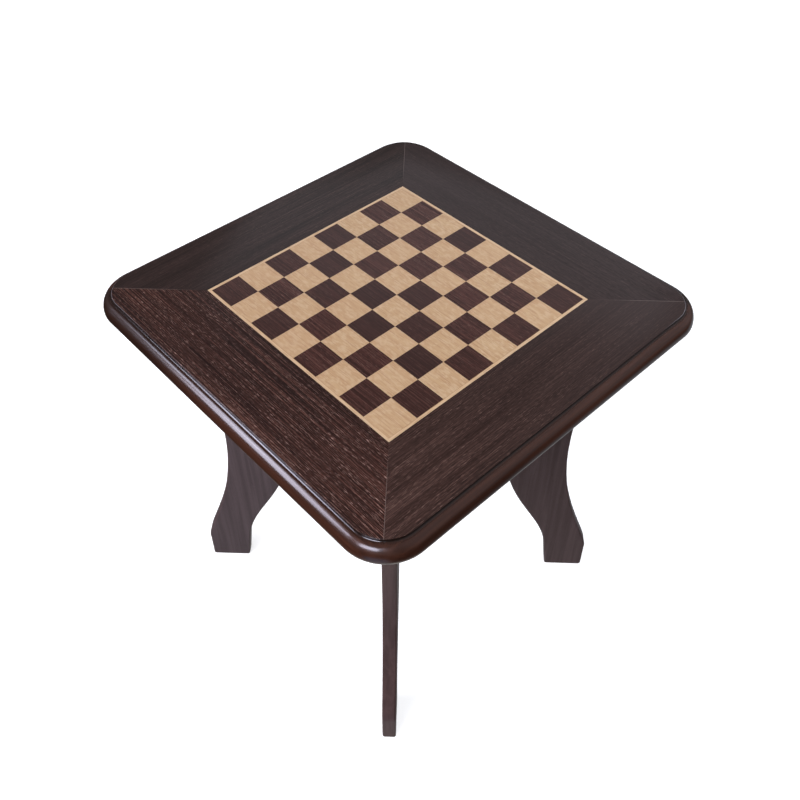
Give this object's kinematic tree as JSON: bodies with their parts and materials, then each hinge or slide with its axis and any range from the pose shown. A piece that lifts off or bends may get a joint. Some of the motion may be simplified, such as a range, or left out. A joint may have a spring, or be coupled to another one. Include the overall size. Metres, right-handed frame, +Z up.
{
  "type": "chess table",
  "caption": "Square chess table with an inlaid chequered board, mitred dark veneer border and rounded moulded edge, on flat S-shaped legs set on the diagonals.",
  "frame": {"origin": "on the floor under the centre of the top, midway between the four feet", "axes": "+Z up, X and Y along the sides of the square top; front is -Y and left is -X, and the legs stand on the diagonals"},
  "size_m": [0.681, 0.681, 0.715],
  "materials": {
    "wenge_veneer": "satin lacquer over open-pored dark brown veneer",
    "maple_veneer": "satin lacquer over pale veneer",
    "moulding_wood": "gloss lacquer over dark red-brown stain",
    "leg_wood": "satin lacquer over dark brown stain",
    "rail_wood": "satin lacquer over dark brown stain",
    "core_board": "bare fibreboard",
    "backing_veneer": "thin lacquer over dark brown veneer",
    "plywood": "bare plywood",
    "dowel_wood": "bare beech",
    "bracket_steel": "zinc plated",
    "screw_steel": "zinc plated"
  },
  "bodies": {
    "root": {"angle_bracket_back_left": "bracket_steel", "angle_bracket_back_right": "bracket_steel", "angle_bracket_front_left": "bracket_steel", "angle_bracket_front_right": "bracket_steel", "backing_veneer": "backing_veneer", "border_veneer_back": "wenge_veneer", "border_veneer_front": "wenge_veneer", "border_veneer_left": "wenge_veneer", "border_veneer_right": "wenge_veneer", "bracket_rail_screws": "screw_steel", "bracket_top_screws": "screw_steel", "core_panel": "core_board", "cross_rail_lower": "rail_wood", "cross_rail_upper": "rail_wood", "dark_squares": "wenge_veneer", "edge_moulding_back": "moulding_wood", "edge_moulding_front": "moulding_wood", "edge_moulding_left": "moulding_wood", "edge_moulding_right": "moulding_wood", "leg_back_left": "leg_wood", "leg_back_right": "leg_wood", "leg_dowels": "dowel_wood", "leg_front_left": "leg_wood", "leg_front_right": "leg_wood", "light_squares": "maple_veneer", "stringing_back": "maple_veneer", "stringing_front": "maple_veneer", "stringing_left": "maple_veneer", "stringing_right": "maple_veneer", "tongue_back": "plywood", "tongue_front": "plywood", "tongue_left": "plywood", "tongue_right": "plywood"}
  },
  "joints": []
}
